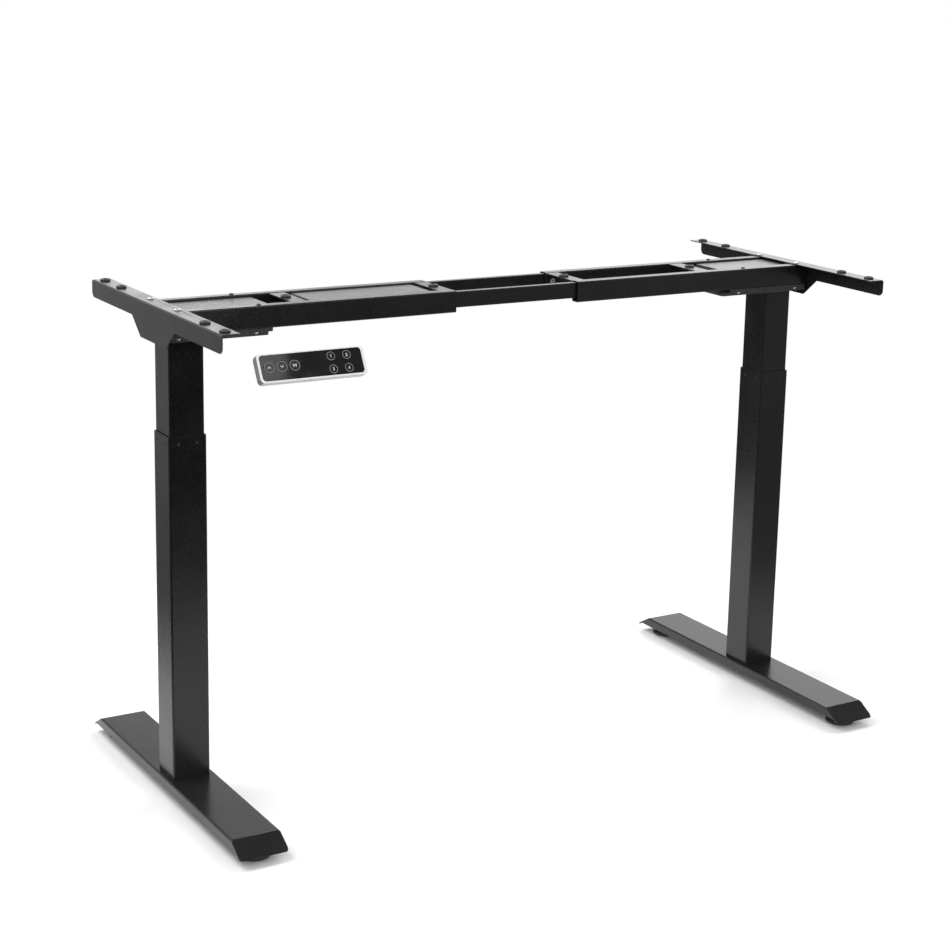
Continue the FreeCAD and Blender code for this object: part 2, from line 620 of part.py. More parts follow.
# ears that tuck under the cross plates
for x0, x1 in ((BOX_X0 - 20.0, BOX_X0 + 0.5), (BOX_X1 - 0.5, BOX_X1 + 17.0)):
    for y in (-30.0, 30.0):
        base = base.fuse(box(x0, x1, y - 8, y + 8, CROSS_TOP - CROSS_T - 2.5, CROSS_TOP - CROSS_T - 1.0))
base = base.removeSplitter()
save("control_box_base", base)
lid = xprism(rrect(-BOX_HALF, BOX_HALF, BOX_TOP - 1.5, BOX_TOP), [0, 0, 1.2, 1.2], BOX_X0, BOX_X1)
save("control_box_lid", lid)
pcb = box(BOX_X0 + 6, BOX_X1 - 16.0, -40, 40, BOX_BOTTOM + 6, BOX_BOTTOM + 7.6)
caps = [cyl(7.0, BOX_X0 + 40 + 18 * k, 20.0, BOX_BOTTOM + 7.5, BOX_BOTTOM + 27) for k in range(3)]
relays = [box(BOX_X0 + 120 + 24 * k, BOX_X0 + 138 + 24 * k, -30, -12, BOX_BOTTOM + 7.5, BOX_BOTTOM + 23) for k in range(3)]
socks = []
for y in (-30.0, -10.0, 10.0, 30.0):
    sk = box(BOX_X1 - 26.0, BOX_X1 - 2.0, y - 6.8, y + 6.8, BOX_BOTTOM + 7.0, BOX_BOTTOM + 19.8)
    socks.append(sk.cut(box(BOX_X1 - 14.0, BOX_X1, y - 5.0, y + 5.0, BOX_BOTTOM + 10.5, BOX_BOTTOM + 17.5)))
board = pcb
for c in caps + relays + socks:
    board = board.fuse(c)
save("control_board", board.removeSplitter())

# ---- handset ----------------------------------------------------------
TL = V(HS_X0, HS_Y0, HS_Z0)
ca, sa = math.cos(math.radians(HS_TILT)), math.sin(math.radians(HS_TILT))
DN = V(0, -sa, -ca)      # down along the face
NR = V(0, -ca, sa)       # out of the face


def hp(u, v, w=0.0):
    """Point u along, v down and w out of the handset's face."""
    return TL + V(u, 0, 0) + DN * v + NR * w


def hs_prism(u0, u1, v0, v1, r, w0, w1):
    pts = rrect(u0, u1, v0, v1)
    rr = r if isinstance(r, (list, tuple)) else [r] * 4
    f = Part.Face(rounded_poly(pts, rr, lambda a, b: tuple(hp(a, b, w0))))
    return f.extrude(NR * (w1 - w0))


shell = hs_prism(0, HS_W, 0, HS_H, HS_R, -HS_D, 0.0)
# the back tapers in all round
back = []
for e in shell.Edges:
    c = e.BoundBox.Center
    w = (c - TL).dot(NR)
    if abs(w + HS_D) < 0.4:
        back.append(e)
shell = shell.makeFillet(7.0, back)
pu0, pv0 = (HS_W - PANEL_W) / 2.0, (HS_H - PANEL_H) / 2.0
shell = shell.cut(hs_prism(pu0 - 0.1, pu0 + PANEL_W + 0.1, pv0 - 0.1, pv0 + PANEL_H + 0.1, PANEL_R, -PANEL_T - 0.1, 2.0))
shell = shell.cut(hs_prism(pu0 + 2, pu0 + PANEL_W - 2, pv0 + 2, pv0 + PANEL_H - 2, 4.0, -HS_D + 2.5, -1.0))
save("handset_housing", shell)

panel = hs_prism(pu0, pu0 + PANEL_W, pv0, pv0 + PANEL_H, PANEL_R, -PANEL_T, 0.15)
for name, (u, v, d) in KEYS.items():
    panel = panel.cut(cyl_dir(d / 2.0 + 0.25, hp(u, v, -PANEL_T - 2), NR, 6.0))
save("handset_panel", panel)

for name, (u, v, d) in KEYS.items():
    k = cyl_dir(d / 2.0, hp(u, v, -2.4), NR, 2.75)
    top = [e for e in k.Edges if abs((e.BoundBox.Center - TL).dot(NR) - 0.35) < 0.01]
    k = k.makeFillet(0.3, top)
    save("handset_" + name, k)

hb = hs_prism(pu0 + 4, pu0 + PANEL_W - 4, pv0 + 4, pv0 + PANEL_H - 4, 2.0, -6.0, -4.4)
domes = [cyl_dir(d / 2.0 - 3.0, hp(u, v, -4.5), NR, 1.3) for (u, v, d) in KEYS.values()]
disp = hs_prism(80.0, 112.0, 12.0, 32.0, 1.0, -4.5, -1.6)
for c in domes + [disp]:
    hb = hb.fuse(c)
save("handset_board", hb.removeSplitter())

total = Part.makeCompound(list(NODES.values()))
bb = total.BoundBox
print("nodes", len(NODES), "box", [round(v, 2) for v in (bb.XMin, bb.XMax, bb.YMin, bb.YMax, bb.ZMin, bb.ZMax)])
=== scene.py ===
import bpy
import bmesh
import json
import math
import random
from mathutils import Matrix, Vector


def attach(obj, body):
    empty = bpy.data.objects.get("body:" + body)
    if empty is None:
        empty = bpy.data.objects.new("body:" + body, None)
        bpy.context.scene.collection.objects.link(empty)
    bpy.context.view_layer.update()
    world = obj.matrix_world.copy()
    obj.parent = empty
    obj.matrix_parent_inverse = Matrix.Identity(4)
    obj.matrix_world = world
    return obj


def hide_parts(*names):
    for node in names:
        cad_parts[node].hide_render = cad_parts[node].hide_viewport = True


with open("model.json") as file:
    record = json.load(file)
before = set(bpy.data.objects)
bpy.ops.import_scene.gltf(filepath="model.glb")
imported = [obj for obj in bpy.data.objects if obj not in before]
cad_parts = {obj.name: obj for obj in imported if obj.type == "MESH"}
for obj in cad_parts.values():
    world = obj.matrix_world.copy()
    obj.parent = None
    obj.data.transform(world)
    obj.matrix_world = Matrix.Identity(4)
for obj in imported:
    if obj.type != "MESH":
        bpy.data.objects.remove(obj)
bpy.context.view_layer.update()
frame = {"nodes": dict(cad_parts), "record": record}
NODES = frame["nodes"]
BODY = {n: b for b, ns in frame["record"]["behaviour"]["bodies"].items() for n in ns}
SLOT = {n: o.data.materials[0].name.split(".")[0] for n, o in NODES.items()}
MM = 0.001
SIDES = {"left": -1, "right": 1}

# =========================================================================
# materials
# =========================================================================


class Nodes:
    """A material's node tree, written from the shader backwards."""

    def __init__(self, name):
        old = bpy.data.materials.get(name)
        if old is not None:
            old.name = name + "_cad"
        self.mat = bpy.data.materials.new(name)
        self.mat.use_nodes = True
        self.nt = self.mat.node_tree
        self.nt.nodes.clear()
        self.out = self.nt.nodes.new("ShaderNodeOutputMaterial")
        self.bsdf = self.nt.nodes.new("ShaderNodeBsdfPrincipled")
        self.nt.links.new(self.bsdf.outputs["BSDF"], self.out.inputs["Surface"])
        self.tc = self.nt.nodes.new("ShaderNodeTexCoord")
        self.obj = self.tc.outputs["Object"]

    def n(self, kind, **kw):
        node = self.nt.nodes.new(kind)
        for k, v in kw.items():
            setattr(node, k, v)
        return node

    def link(self, a, b):
        self.nt.links.new(a, b)

    def put(self, sock, value):
        if isinstance(value, bpy.types.NodeSocket):
            self.link(value, sock)
        else:
            sock.default_value = value

    def noise(self, scale, detail=2.0, rough=0.5, vector=None, distortion=0.0):
        t = self.n("ShaderNodeTexNoise")
        t.inputs["Scale"].default_value = scale
        t.inputs["Detail"].default_value = detail
        t.inputs["Roughness"].default_value = rough
        t.inputs["Distortion"].default_value = distortion
        self.link(vector or self.obj, t.inputs["Vector"])
        return t.outputs["Fac"]

    def voronoi(self, scale, feature="F1", vector=None):
        t = self.n("ShaderNodeTexVoronoi")
        t.feature = feature
        t.inputs["Scale"].default_value = scale
        self.link(vector or self.obj, t.inputs["Vector"])
        return t.outputs["Distance"]

    def stretched(self, sx, sy, sz):
        m = self.n("ShaderNodeMapping")
        m.inputs["Scale"].default_value = (sx, sy, sz)
        self.link(self.obj, m.inputs["Vector"])
        return m.outputs["Vector"]

    def math(self, op, a, b=0.0, c=0.0, clamp=False):
        m = self.n("ShaderNodeMath")
        m.operation = op
        m.use_clamp = clamp
        self.put(m.inputs[0], a)
        self.put(m.inputs[1], b)
        self.put(m.inputs[2], c)
        return m.outputs[0]

    def remap(self, v, a, b, c, d, smooth=False):
        m = self.n("ShaderNodeMapRange")
        m.interpolation_type = "SMOOTHSTEP" if smooth else "LINEAR"
        self.put(m.inputs["Value"], v)
        for k, x in zip(("From Min", "From Max", "To Min", "To Max"), (a, b, c, d)):
            m.inputs[k].default_value = x
        return m.outputs["Result"]

    def mix(self, fac, a, b):
        m = self.n("ShaderNodeMix")
        m.data_type = "RGBA"
        self.put(m.inputs["Factor"], fac)
        for sock, v in ((m.inputs["A"], a), (m.inputs["B"], b)):
            if isinstance(v, bpy.types.NodeSocket):
                self.link(v, sock)
            else:
                sock.default_value = (v[0], v[1], v[2], 1.0)
        return m.outputs["Result"]

    def attribute(self, name):
        a = self.n("ShaderNodeAttribute")
        a.attribute_name = name
        return a.outputs["Fac"]

    def bump(self, height, distance, strength=1.0, normal=None):
        b = self.n("ShaderNodeBump")
        b.inputs["Strength"].default_value = strength
        b.inputs["Distance"].default_value = distance
        self.link(height, b.inputs["Height"])
        if normal is not None:
            self.link(normal, b.inputs["Normal"])
        return b.outputs["Normal"]

    def set(self, name, value):
        self.put(self.bsdf.inputs[name], value)


MATS = {}


def powder(name, dark, light, rough, peel=1.0, ior=1.5, grain=1.0, sand=0.10):
    """Black powder coat: orange peel, a fine grain, patches of slightly different gloss, and lighter, glossier edges:
    noise patches of paint worn thin, over an even lightening of every bevel that is a painted highlight.
    """
    m = Nodes(name)
    broad = m.noise(9.0, 3.0, 0.55)
    mid = m.noise(60.0, 3.0, 0.6)
    fine = m.noise(900.0, 2.0, 0.6)
    peel_h = m.noise(420.0, 2.0, 0.45)
    speck = m.voronoi(700.0)
    tone = m.math("ADD", m.math("MULTIPLY", broad, 0.6), m.math("MULTIPLY", mid, 0.4))
    col = m.mix(m.remap(tone, 0.35, 0.65, 0.0, 1.0), dark, light)
    flecks = m.remap(speck, 0.06, 0.16, 1.0, 0.0, True)
    flecks = m.math("MULTIPLY", flecks, m.remap(fine, 0.45, 0.6, 0.0, 0.55))
    col = m.mix(flecks, col, tuple(min(1.0, c * 2.6 + 0.012) for c in light))
    edge = m.attribute("edge")
    # Bevels lighten towards pale grey: noise patches of paint worn thin, and at least 0.12 on every bevel, which is a
    # painted highlight along all edges.
    edge_wear_and_highlight = m.math("MULTIPLY", edge, m.remap(m.noise(130.0, 4.0, 0.65), 0.44, 0.66, 0.12, 1.0, True), clamp=True)
    col = m.mix(m.math("MULTIPLY", edge_wear_and_highlight, 0.55), col, tuple(c * 3.2 + 0.02 for c in light))
    m.set("Base Color", col)
    r = m.math("ADD", rough - 0.08, m.math("MULTIPLY", m.noise(14.0, 4.0, 0.6), 0.16))
    r = m.math("ADD", r, m.math("MULTIPLY", m.math("SUBTRACT", fine, 0.5), 0.10 * grain))
    r = m.math("ADD", r, m.math("MULTIPLY", m.math("SUBTRACT", m.noise(430.0, 2.0, 0.6), 0.5), 2.2 * sand))
    r = m.math("SUBTRACT", r, m.math("MULTIPLY", edge_wear_and_highlight, 0.06), clamp=True)
    m.set("Roughness", r)
    m.bsdf.inputs["IOR"].default_value = ior
    nrm = m.bump(peel_h, 0.000016 * peel)
    nrm = m.bump(fine, 0.0000035 * grain, 1.0, nrm)
    m.set("Normal", nrm)
    MATS[name] = m.mat
    return m.mat


def plated(name, a, b, rough, scratch=0.00001, brushed=None):
    """Plated or machined steel: metallic, with fine directional marks and cloudy patches of colour and roughness."""
    m = Nodes(name)
    m.bsdf.inputs["Metallic"].default_value = 1.0
    cloud = m.noise(160.0, 4.0, 0.6)
    m.set("Base Color", m.mix(m.remap(cloud, 0.35, 0.68, 0.0, 1.0), a, b))
    vec = m.stretched(*(brushed or (1.0, 1.0, 1.0)))
    marks = m.noise(1500.0 if brushed is None else 900.0, 3.0, 0.65, vec)
    m.set("Roughness", m.math("ADD", rough - 0.07, m.math("MULTIPLY", m.math("ADD", cloud, marks), 0.10), clamp=True))
    m.set("Normal", m.bump(marks, scratch))
    MATS[name] = m.mat
    return m.mat


def rubber(name, dark, light, rough):
    m = Nodes(name)
    patch = m.noise(210.0, 4.0, 0.6)
    dust = m.remap(m.noise(1300.0, 3.0, 0.7), 0.52, 0.74, 0.0, 0.5, True)
    col = m.mix(patch, dark, light)
    m.set("Base Color", m.mix(dust, col, tuple(c * 2.4 + 0.01 for c in light)))
    m.set("Roughness", m.remap(patch, 0.3, 0.7, rough - 0.08, rough + 0.08))
    m.bsdf.inputs["IOR"].default_value = 1.5
    m.set("Normal", m.bump(m.noise(1700.0, 3.0, 0.6), 0.00003))
    MATS[name] = m.mat
    return m.mat


def plastic(name, a, b, rough, grain=0.000012, grain_scale=2300.0, subsurface=0.0, coat=0.0, rough_var=0.08, side=None):
    m = Nodes(name)
    patch = m.noise(45.0, 3.0, 0.55)
    tex = m.voronoi(grain_scale, "SMOOTH_F1")
    col = m.mix(m.remap(patch, 0.3, 0.7, 0.0, 1.0), a, b)
    # A grey mixed in by the 'side' face attribute: painted shade of the white shell on its ends, back and underside.
    if side:
        col = m.mix(m.attribute("side"), col, side)
    m.set("Base Color", col)
    m.set("Roughness", m.math("ADD", rough - rough_var / 2, m.math("MULTIPLY", m.noise(30.0, 4.0, 0.6), rough_var), clamp=True))
    m.bsdf.inputs["IOR"].default_value = 1.49
    if subsurface:
        m.bsdf.inputs["Subsurface Weight"].default_value = subsurface
        m.bsdf.inputs["Subsurface Radius"].default_value = (0.0012, 0.0011, 0.001)
        m.bsdf.inputs["Subsurface Scale"].default_value = 1.0
    if coat:
        m.bsdf.inputs["Coat Weight"].default_value = coat
        m.bsdf.inputs["Coat Roughness"].default_value = 0.03
    m.set("Normal", m.bump(tex, grain))
    MATS[name] = m.mat
    return m.mat


def gloss_black(name, a, b, rough):
    """Moulded gloss black: nearly mirror smooth with faint wipe marks in its roughness."""
    m = Nodes(name)
    wipe = m.noise(55.0, 5.0, 0.65, m.stretched(0.35, 1.0, 1.0))
    haze = m.noise(420.0, 3.0, 0.6)
    m.set("Base Color", m.mix(wipe, a, b))
    m.set("Roughness", m.math("ADD", rough, m.math("MULTIPLY", m.remap(wipe, 0.45, 0.75, 0.0, 1.0, True), m.math("MULTIPLY", haze, 0.16))))
    m.bsdf.inputs["IOR"].default_value = 1.49
    m.set("Normal", m.bump(m.noise(24.0, 2.0, 0.5), 0.00002))
    MATS[name] = m.mat
    return m.mat


def board(name):
    """Circuit board: solder mask with copper traces showing as lighter lines, pads and darker parts on top."""
    m = Nodes(name)
    g = m.stretched(1.0, 1.0, 1.0)
    brick = m.n("ShaderNodeTexBrick")
    m.link(g, brick.inputs["Vector"])
    brick.inputs["Scale"].default_value = 120.0
    brick.inputs["Mortar Size"].default_value = 0.028
    brick.inputs["Color1"].default_value = (0.012, 0.075, 0.035, 1)
    brick.inputs["Color2"].default_value = (0.010, 0.060, 0.030, 1)
    brick.inputs["Mortar"].default_value = (0.03, 0.16, 0.07, 1)
    pads = m.remap(m.voronoi(260.0), 0.08, 0.12, 1.0, 0.0, True)
    col = m.mix(m.math("MULTIPLY", pads, 0.8), brick.outputs["Color"], (0.55, 0.50, 0.38))
    m.set("Base Color", m.mix(m.remap(m.noise(20.0, 3.0), 0.3, 0.7, 0.0, 0.35), col, (0.006, 0.03, 0.016)))
    m.set("Roughness", m.remap(m.noise(160.0, 2.0), 0.3, 0.7, 0.28, 0.42))
    m.set("Normal", m.bump(brick.outputs["Fac"], 0.00003))
    MATS[name] = m.mat
    return m.mat


powder("foot_paint", (0.0050, 0.0050, 0.0055), (0.0085, 0.0085, 0.0092), 0.24)
powder("column_paint", (0.0026, 0.0026, 0.0029), (0.0058, 0.0058, 0.0064), 0.25)
powder("rail_paint", (0.0050, 0.0050, 0.0055), (0.0090, 0.0090, 0.0096), 0.27)
powder("bracket_paint", (0.0080, 0.0080, 0.0085), (0.0135, 0.0135, 0.0143), 0.27)
powder("plate_paint", (0.022, 0.022, 0.023), (0.034, 0.034, 0.035), 0.42, grain=2.0)
powder("cover_paint", (0.042, 0.042, 0.043), (0.064, 0.064, 0.066), 0.30, peel=1.6, grain=2.0, sand=0.18)
plated("zinc_screws", (0.50, 0.51, 0.53), (0.64, 0.64, 0.65), 0.46)
plated("dark_screws", (0.045, 0.045, 0.05), (0.09, 0.09, 0.095), 0.34)
plated("steel", (0.44, 0.44, 0.45), (0.60, 0.60, 0.61), 0.30, brushed=(1.0, 1.0, 8.0))
plated("motor_can", (0.40, 0.40, 0.41), (0.52, 0.52, 0.53), 0.33, brushed=(0.2, 1.0, 1.0))
plated("cast_alloy", (0.42, 0.42, 0.43), (0.55, 0.55, 0.56), 0.48, scratch=0.00006)
rubber("bumper_rubber", (0.012, 0.012, 0.012), (0.022, 0.022, 0.022), 0.50)
rubber("glide_rubber", (0.012, 0.012, 0.012), (0.022, 0.022, 0.022), 0.46)
plastic("slide_plastic", (0.66, 0.65, 0.60), (0.74, 0.73, 0.69), 0.42, grain_scale=1500.0)
plastic("nut_plastic", (0.70, 0.67, 0.58), (0.78, 0.75, 0.67), 0.38, grain_scale=1500.0)
board("circuit_board")
# the side grey is painted shade on the shell's ends, back and underside
plastic("handset_shell", (0.86, 0.86, 0.865), (0.90, 0.90, 0.905), 0.36, grain=0.00001, grain_scale=2600.0, side=(0.27, 0.27, 0.275))
gloss_black("handset_gloss", (0.006, 0.006, 0.0065), (0.009, 0.009, 0.0095), 0.05)
gloss_black("key_gloss", (0.006, 0.006, 0.0065), (0.010, 0.010, 0.0105), 0.09)
plastic("key_print", (0.66, 0.66, 0.67), (0.76, 0.76, 0.77), 0.45, grain=0.000004)
plastic("key_ring", (0.26, 0.26, 0.265), (0.32, 0.32, 0.325), 0.40, grain=0.000004)
plated("nut_zinc", (0.78, 0.78, 0.79), (0.88, 0.88, 0.88), 0.62)
MATS["weld"] = powder("weld_paint", (0.009, 0.009, 0.010), (0.015, 0.015, 0.016), 0.30, peel=2.0)

# =========================================================================
# geometry helpers
# =========================================================================


def finish_mesh(name, bm, body, mat, nodes=(), smooth=40.0, weighted=True):
    bmesh.ops.recalc_face_normals(bm, faces=bm.faces)
    me = bpy.data.meshes.new(name)
    for f in bm.faces:
        f.smooth = True
    lim = math.radians(smooth)
    for e in bm.edges:
        e.smooth = not (len(e.link_faces) == 2 and e.calc_face_angle(0.0) > lim)
    bm.to_mesh(me)
    bm.free()
    o = bpy.data.objects.new(name, me)
    bpy.context.scene.collection.objects.link(o)
    me.materials.append(MATS[mat])
    if weighted:
        w = o.modifiers.new("normals", "WEIGHTED_NORMAL")
        w.keep_sharp = True
        w.weight = 60
    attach(o, body)
    if nodes:
        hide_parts(*nodes)
    return o


def blunt(bm):
    """Squares off the sharp lower tips of a foot's end flaps, as a sheared sheet edge is."""
    a = math.atan2(24.0, 41.5)
    for sy in (-1, 1):
        n = Vector((0, sy * math.cos(a), -math.sin(a)))
        co = Vector((0, sy * 0.35, 0.015)) - n * 0.0012
        bmesh.ops.bisect_plane(bm, geom=bm.verts[:] + bm.edges[:] + bm.faces[:], dist=1e-7, plane_co=co, plane_no=n, clear_outer=True)
        bmesh.ops.holes_fill(bm, edges=[e for e in bm.edges if e.is_boundary], sides=0)
    bmesh.ops.remove_doubles(bm, verts=bm.verts, dist=2e-6)


def round_rim(bm):
    """Rounds the outer rim of the handset's face."""
    a = math.radians(29.0)
    tl = Vector((-0.647, -0.3247, 0.8679))
    dn = Vector((0, -math.sin(a), -math.cos(a)))
    nr = Vector((0, -math.cos(a), math.sin(a)))

    def outer(v):
        d = v.co - tl
        x, y, z = d.x, d.dot(dn), d.dot(nr)
        return abs(z) < 2e-5 and (x < 0.0045 or x > 0.1855 or y < 0.0032 or y > 0.0468)

    rim = [e for e in bm.edges if outer(e.verts[0]) and outer(e.verts[1]) and len(e.link_faces) == 2 and e.calc_face_angle(0.0) > 1.0]
    bmesh.ops.bevel(bm, geom=rim, offset=0.0013, offset_type="OFFSET", segments=5, profile=0.5, affect="EDGES", clamp_overlap=False, loop_slide=True, material=-1)


def refine(node, width=0.35, segs=2, sharp=28.0, merge=0.6, smooth=60.0, pre=None, face=None):
    """A finished copy of a CAD node: triangles merged into clean faces, every outer hard edge given a small rolled
    bevel, and the bevels marked for edge wear and a painted edge highlight.
    """
    bm = bmesh.new()
    bm.from_mesh(NODES[node].data)
    bmesh.ops.remove_doubles(bm, verts=bm.verts, dist=2e-6)
    bmesh.ops.dissolve_degenerate(bm, dist=1e-6, edges=bm.edges)
    bmesh.ops.dissolve_limit(bm, angle_limit=math.radians(merge), use_dissolve_boundaries=False, verts=bm.verts, edges=bm.edges, delimit=set())
    if pre:
        pre(bm)
    bmesh.ops.recalc_face_normals(bm, faces=bm.faces)
    # the edge layer marks the bevel faces for edge wear and a painted edge highlight
    lay = bm.faces.layers.float.new("edge")
    lim = math.radians(sharp)
    hard = [e for e in bm.edges if len(e.link_faces) == 2 and e.is_convex and e.calc_face_angle(0.0) > lim]
    if hard and width > 0:
        r = bmesh.ops.bevel(bm, geom=hard, offset=width * MM, offset_type="OFFSET", segments=segs, profile=0.5, affect="EDGES", clamp_overlap=False, loop_slide=True, material=-1)
        for f in r["faces"]:
            f[lay] = 1.0
    # With face given, each face gets a grey weight by its direction: full on the ends, 0.8 on the back and half on the
    # underside. This is painted shade on the shell's sides.
    if face is not None:
        painted_shade_mark = bm.faces.layers.float.new("side")
        for f in bm.faces:
            f.normal_update()
            ends = min(1.0, max(0.0, (abs(f.normal.x) - 0.30) / 0.25))
            under = 0.5 * min(1.0, max(0.0, (-f.normal.z - 0.62) / 0.2))
            back = 0.8 if f.normal.dot(face) < -0.15 else 0.0
            f[painted_shade_mark] = max(ends, under, back)
    bmesh.ops.dissolve_degenerate(bm, dist=2e-7, edges=bm.edges)
    return finish_mesh(node + "_finish", bm, BODY[node], SLOT[node], [node], smooth)


def circ(r, z, n):
    return [Vector((r * math.cos(2 * math.pi * k / n), r * math.sin(2 * math.pi * k / n), z)) for k in range(n)]


def radial(fn, z, n):
    out = []
    for k in range(n):
        t = 2 * math.pi * k / n
        r = fn(t)
        out.append(Vector((r * math.cos(t), r * math.sin(t), z)))
    return out


def hex_fn(af):
    def f(t):
        return af / 2 / math.cos((t + math.pi / 6) % (math.pi / 3) - math.pi / 6)
    return f


def square_fn(half, corner):
    def f(t):
        p = (t + math.pi / 4) % (math.pi / 2) - math.pi / 4
        return min(half / math.cos(p), corner)
    return f


def cross_fn(arm, width):
    def f(t):
        p = abs((t + math.pi / 4) % (math.pi / 2) - math.pi / 4)
        return min(arm / math.cos(p), width / 2 / max(math.sin(p), 1e-3))
    return f


def skin(bm, rings, M, wrap=False, scale=MM):
    """Joins rings of points into one closed surface. A ring of one point is a pole."""
    made = []
    for ring in rings:
        made.append([bm.verts.new(M @ (Vector(p) * scale)) for p in ring])
    pairs = list(zip(made, made[1:] + ([made[0]] if wrap else [])))
    if not wrap:
        pairs = pairs[: len(made) - 1]
    faces = []
    for a, b in pairs:
        n = max(len(a), len(b))
        for k in range(n):
            k2 = (k + 1) % n
            if len(a) == 1:
                faces.append(bm.faces.new((a[0], b[k], b[k2])))
            elif len(b) == 1:
                faces.append(bm.faces.new((a[k], b[0], a[k2])))
            else:
                faces.append(bm.faces.new((a[k], b[k], b[k2], a[k2])))
    return faces


def rounded(points, radii, segs=4, closed=False):
    """A 2-D profile whose corners are replaced by arcs."""
    out = []
    n = len(points)
    for i, (p, r) in enumerate(zip(points, radii)):
        if r <= 0 or (not closed and i in (0, n - 1)):
            out.append(tuple(p))
            continue
        p = Vector(p)
        a = Vector(points[i - 1]) - p
        b = Vector(points[(i + 1) % n]) - p
        la, lb = a.length, b.length
        a.normalize()
        b.normalize()
        half = math.acos(max(-1, min(1, a.dot(b)))) / 2
        t = min(r / math.tan(half), 0.48 * la, 0.48 * lb)
        rr = t * math.tan(half)
        c = p + (a + b).normalized() * (rr / math.sin(half))
        s, e = p + a * t, p + b * t
        a0 = math.atan2(s.y - c.y, s.x - c.x)
        a1 = math.atan2(e.y - c.y, e.x - c.x)
        d = (a1 - a0 + math.pi) % (2 * math.pi) - math.pi
        for k in range(segs + 1):
            w = a0 + d * k / segs
            out.append((c.x + rr * math.cos(w), c.y + rr * math.sin(w)))
    return out


def at(x, y, z, axis=(0, 0, 1)):
    """Places a part made about local Z at a point in millimetres, its Z along axis."""
    q = Vector(axis).normalized().to_track_quat("Z", "Y")
    return Matrix.Translation(Vector((x, y, z)) * MM) @ q.to_matrix().to_4x4()


def turned(bm, prof, n, M, wrap=False):
    rings = [[(0, 0, z)] if r < 1e-6 else circ(r, z, n) for r, z in prof]
    return skin(bm, rings, M, wrap)


def threaded(bm, M, r_major, r_minor, pitch, z0, z1, n=20, rows=5, cap_r=None):
    """A rod with a real helical thread, closed at both ends."""
    total = max(2, int(round((z1 - z0) / pitch * rows)))
    rings = [[(0, 0, z0)]]
    for i in range(total + 1):
        z = z0 + (z1 - z0) * i / total
        fade = min(1.0, (z - z0) / pitch, (z1 - z) / pitch)
        ring = []
        for k in range(n):
            t = 2 * math.pi * k / n
            ph = ((z / pitch) - k / n) % 1.0
            h = min(1.0, max(0.0, 1.35 * (1 - abs(2 * ph - 1)) - 0.15))
            r = r_minor + (r_major - r_minor) * h * fade
            ring.append((r * math.cos(t), r * math.sin(t), z))
        rings.append(ring)
    rings.append([(0, 0, z1)])
    return skin(bm, rings, M)


def bead(bm, pts, r, closed=True, seed=1, step=1.1, ripple=2.4, n=8, flat=0.8):
    """A weld bead: a rippled run along a path of points in millimetres."""
    rnd = random.Random(seed)
    path = [Vector(p) for p in pts]
    if closed:
        path.append(path[0])
    samples = []
    s = 0.0
    for a, b in zip(path, path[1:]):
        d = (b - a).length
        k = max(1, int(d / step))
        for i in range(k):
            samples.append((a + (b - a) * i / k, s + d * i / k))
        s += d
    if not closed:
        samples.append((path[-1], s))
    m = len(samples)
    rings = []
    for i, (p, dist) in enumerate(samples):
        q0 = samples[(i - 1) % m][0] if (closed or i > 0) else p
        q1 = samples[(i + 1) % m][0] if (closed or i < m - 1) else p
        t = (q1 - q0).normalized()
        side = t.cross(Vector((0, 0, 1)))
        if side.length < 0.1:
            side = t.cross(Vector((1, 0, 0)))
        side.normalize()
        up = side.cross(t)
        rr = r * (0.88 + 0.14 * abs(math.sin(math.pi * dist / ripple)) + rnd.uniform(-0.03, 0.03))
        if not closed:
            rr *= min(1.0, 0.45 + 0.3 * min(i, m - 1 - i))
        rings.append([p + side * (rr * math.cos(2 * math.pi * k / n)) + up * (rr * flat * math.sin(2 * math.pi * k / n)) for k in range(n)])
    if not closed:
        rings = [[samples[0][0]]] + rings + [[samples[-1][0]]]
    skin(bm, rings, Matrix.Identity(4), wrap=closed)


# =========================================================================
# sheet metal, tubes and housings
# =========================================================================
for side in SIDES:
    refine(side + "_foot", 0.45, 2, pre=blunt)
    refine(side + "_outer_column", 0.28, 2)
    refine(side + "_inner_column", 0.28, 2)
    refine(side + "_front_rail", 0.35, 2)
    refine(side + "_rear_rail", 0.35, 2)
    refine(side + "_side_bracket", 0.4, 2)
    refine(side + "_cross_plates", 0.4, 2)
    refine(side + "_column_plate", 0.5, 2)
    refine(side + "_rail_plate", 0.5, 2)
    refine(side + "_motor_cover", 0.3, 2)
    refine(side + "_glide_nut_plates", 0.5, 2)
    refine(side + "_gearbox", 0.8, 2)
    refine(side + "_motor", 0.4, 2)
    refine(side + "_drive_tube", 0.25, 1)
    refine(side + "_spindle_nut", 0.3, 2)
    refine(side + "_slide_pads", 0.2, 2)
refine("center_rails", 0.3, 2)
refine("control_box_base", 0.25, 2)
refine("control_box_lid", 0.3, 2)
refine("control_board", 0.25, 1)
# face sets the direction that the painted shade on the shell's ends, back and underside is judged from
refine("handset_housing", 0.25, 2, pre=round_rim, face=Vector((0.0, -math.cos(math.radians(29.0)), math.sin(math.radians(29.0)))))
refine("handset_panel", 0.1, 1)
refine("handset_board", 0.15, 1)
for key in ("up", "down", "memory", "one", "two", "three", "four"):
    refine("handset_key_" + key, 0.0)

# =========================================================================
# fasteners
# =========================================================================
COL_X = 643.0
SCREW_X = {-1: 669.5, 1: 664.0}
NUT_XS = {-1: (527.0, 669.5), 1: (516.5, 659.5)}
RAIL_SCREW_X = {-1: 519.5, 1: 530.5}
RAIL_TOP = 894.5
OUT_A = 70.0
OUT_TOP = 669.5
IN_TOP = 842.5
BR_TOP = 896.5
CROSS_TOP = 893.8
CRAIL_TOP = 892.2
COVER_TOP = 890.5


